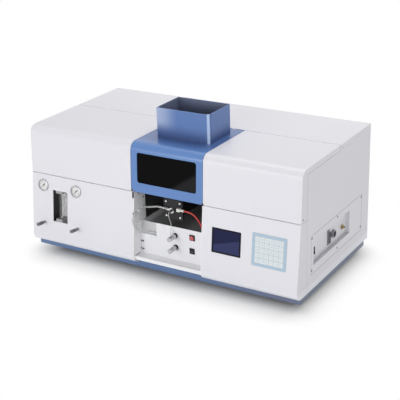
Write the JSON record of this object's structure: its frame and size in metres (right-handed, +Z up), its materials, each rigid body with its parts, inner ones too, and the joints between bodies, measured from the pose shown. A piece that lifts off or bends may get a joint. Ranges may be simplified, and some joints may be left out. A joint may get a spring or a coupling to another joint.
{
  "type": "atomic absorption spectrometer",
  "caption": "Bench-top flame atomic absorption spectrometer with hinged lids, a windowed hood and chimney over a burner bay, gauges, flowmeter, display and keypad.",
  "frame": {"origin": "on the table under the middle of the instrument", "axes": "+X to the right along the front, the front faces -Y, +Z up"},
  "size_m": [1.02, 0.5796, 0.54],
  "materials": {
    "base_tray": "satin paint",
    "feet": "dull",
    "compartment_liner": "matt black paint",
    "compartment_pan": "satin paint",
    "left_front_panel": "satin paint",
    "right_front_panel": "satin paint",
    "left_side_panel": "satin paint",
    "right_side_panel": "satin paint",
    "rear_panel": "satin paint",
    "top_panel": "satin paint",
    "left_lid": "satin paint",
    "right_lid": "satin paint",
    "hood": "satin paint",
    "hood_window": "smoked, glossy",
    "chimney": "gloss paint",
    "service_plate": "satin paint",
    "panel_screws": "bright",
    "control_box": "satin paint",
    "drip_tray": "polished",
    "burner_rail": "machined",
    "optical_bench": "painted casting",
    "lenses": "polished",
    "monochromator_case": "black anodised",
    "monochromator_mirrors": "polished",
    "detector": "matt",
    "power_transformer": "lacquered core",
    "main_board": "board with chips",
    "display_module": "glossy dark screen",
    "keypad": "printed membrane",
    "gauge_cases": "bright",
    "gauge_dials": "printed white",
    "flowmeter_body": "matt",
    "flowmeter_tube": "clear",
    "flow_float": "turned",
    "valve_bodies": "machined, bright nut",
    "left_valve_knob": "knurled",
    "right_valve_knob": "knurled",
    "left_gauge_needle": "black",
    "right_gauge_needle": "black",
    "switch_bezels": "black",
    "rocker": "black",
    "mains_rocker": "black",
    "ignition_button": "red",
    "electrical_sockets": "grey",
    "gas_inlet": "machined",
    "spray_chamber": "matt black",
    "nebulizer": "bright",
    "hose_fittings": "white",
    "burner_head": "machined",
    "burner_carriage": "black anodised",
    "height_knob": "turned, dark knob",
    "oxidant_knob": "turned, dark knob",
    "hinge_pins": "drawn",
    "lamp_turret": "black anodised",
    "hollow_cathode_lamps": "clear",
    "grating": "ruled",
    "gas_hose": "clear hose",
    "fuel_hose": "red hose",
    "drain_hose": "clear hose",
    "capillary": "clear"
  },
  "bodies": {
    "cabinet": {"base_tray": "base_tray", "feet": "feet", "compartment_liner": "compartment_liner", "compartment_pan": "compartment_pan", "left_front_panel": "left_front_panel", "right_front_panel": "right_front_panel", "left_side_panel": "left_side_panel", "right_side_panel": "right_side_panel", "rear_panel": "rear_panel", "top_panel": "top_panel", "service_plate": "service_plate", "panel_screws": "panel_screws", "control_box": "control_box", "drip_tray": "drip_tray", "burner_rail": "burner_rail", "optical_bench": "optical_bench", "lenses": "lenses", "monochromator_case": "monochromator_case", "monochromator_mirrors": "monochromator_mirrors", "detector": "detector", "power_transformer": "power_transformer", "main_board": "main_board", "display_module": "display_module", "keypad": "keypad", "gauge_cases": "gauge_cases", "gauge_dials": "gauge_dials", "flowmeter_body": "flowmeter_body", "flowmeter_tube": "flowmeter_tube", "valve_bodies": "valve_bodies", "switch_bezels": "switch_bezels", "electrical_sockets": "electrical_sockets", "gas_inlet": "gas_inlet", "hinge_pins": "hinge_pins", "gas_hose": "gas_hose", "fuel_hose": "fuel_hose", "drain_hose": "drain_hose"},
    "left_cover": {"left_lid": "left_lid"},
    "right_cover": {"right_lid": "right_lid"},
    "hood_cover": {"hood": "hood", "hood_window": "hood_window", "chimney": "chimney"},
    "left_needle": {"left_gauge_needle": "left_gauge_needle"},
    "right_needle": {"right_gauge_needle": "right_gauge_needle"},
    "float": {"flow_float": "flow_float"},
    "left_valve": {"left_valve_knob": "left_valve_knob"},
    "right_valve": {"right_valve_knob": "right_valve_knob"},
    "burner": {"burner_carriage": "burner_carriage", "spray_chamber": "spray_chamber", "nebulizer": "nebulizer", "hose_fittings": "hose_fittings", "capillary": "capillary"},
    "head": {"burner_head": "burner_head"},
    "height_control": {"height_knob": "height_knob"},
    "oxidant_control": {"oxidant_knob": "oxidant_knob"},
    "button": {"ignition_button": "ignition_button"},
    "switch": {"rocker": "rocker"},
    "mains_switch": {"mains_rocker": "mains_rocker"},
    "turret": {"lamp_turret": "lamp_turret", "hollow_cathode_lamps": "hollow_cathode_lamps"},
    "grating_table": {"grating": "grating"}
  },
  "joints": [
    {"name": "left_cover_hinge", "type": "hinge", "parent": "cabinet", "child": "left_cover", "pos_m": [0, 0.04484, 0.438], "axis": [-1, 0, 0], "range_deg": [0, 70]},
    {"name": "right_cover_hinge", "type": "hinge", "parent": "cabinet", "child": "right_cover", "pos_m": [0, 0.04484, 0.438], "axis": [-1, 0, 0], "range_deg": [0, 70]},
    {"name": "hood_cover_hinge", "type": "hinge", "parent": "cabinet", "child": "hood_cover", "pos_m": [0, 0.04484, 0.438], "axis": [-1, 0, 0], "range_deg": [0, 70]},
    {"name": "left_needle_turn", "type": "hinge", "parent": "cabinet", "child": "left_needle", "pos_m": [-0.462, -0.23658, 0.239], "axis": [0, 0.9937, -0.1125], "range_deg": [0, 270], "stiffness_Nm_per_rad": 0.0004, "springref_deg": -22.92},
    {"name": "right_needle_turn", "type": "hinge", "parent": "cabinet", "child": "right_needle", "pos_m": [-0.323, -0.23658, 0.239], "axis": [0, 0.9937, -0.1125], "range_deg": [0, 270], "stiffness_Nm_per_rad": 0.0004, "springref_deg": -22.92},
    {"name": "float_rise", "type": "slide", "parent": "cabinet", "child": "float", "axis": [0, 0.1125, 0.9937], "range_m": [0, 0.078]},
    {"name": "left_valve_turn", "type": "hinge", "parent": "cabinet", "child": "left_valve", "pos_m": [-0.459, -0.25141, 0.108], "axis": [0, -0.9937, 0.1125], "range_deg": [0, 720]},
    {"name": "right_valve_turn", "type": "hinge", "parent": "cabinet", "child": "right_valve", "pos_m": [-0.316, -0.25129, 0.109], "axis": [0, -0.9937, 0.1125], "range_deg": [0, 720]},
    {"name": "burner_lift", "type": "slide", "parent": "cabinet", "child": "burner", "axis": [0, 0, 1], "range_m": [-0.01, 0.01], "deforming": ["gas_hose", "fuel_hose"]},
    {"name": "head_swivel", "type": "hinge", "parent": "burner", "child": "head", "pos_m": [0.042, -0.06616, 0.2703], "axis": [0, 0, 1], "range_deg": [0, 90]},
    {"name": "height_knob_turn", "type": "hinge", "parent": "cabinet", "child": "height_control", "pos_m": [0.05, -0.20716, 0.142], "axis": [0, 1, 0], "range_deg": [-90, 90]},
    {"name": "oxidant_knob_turn", "type": "hinge", "parent": "cabinet", "child": "oxidant_control", "pos_m": [0.05, -0.20716, 0.101], "axis": [0, -1, 0], "range_deg": [0, 300]},
    {"name": "button_press", "type": "slide", "parent": "cabinet", "child": "button", "axis": [0, 1, 0], "range_m": [0, 0.003], "stiffness_N_per_m": 400, "springref_m": -0.002},
    {"name": "rocker_tip", "type": "hinge", "parent": "cabinet", "child": "switch", "pos_m": [0.1115, -0.20496, 0.099], "axis": [1, 0, 0], "range_deg": [0, 20]},
    {"name": "mains_rocker_tip", "type": "hinge", "parent": "cabinet", "child": "mains_switch", "pos_m": [0.49263, -0.11016, 0.143], "axis": [0, 1, 0], "range_deg": [0, 20]},
    {"name": "turret_turn", "type": "hinge", "parent": "cabinet", "child": "turret", "pos_m": [-0.4, -0.01116, 0.312], "axis": [1, 0, 0], "continuous": true},
    {"name": "grating_turn", "type": "hinge", "parent": "cabinet", "child": "grating_table", "pos_m": [0.25, 0.00684, 0.205], "axis": [0, 0, 1], "range_deg": [-35, 35]}
  ],
  "couplings": [
    {"joint": "height_knob_turn", "follows": "burner_lift", "rad_per_m": 156.25}
  ]
}
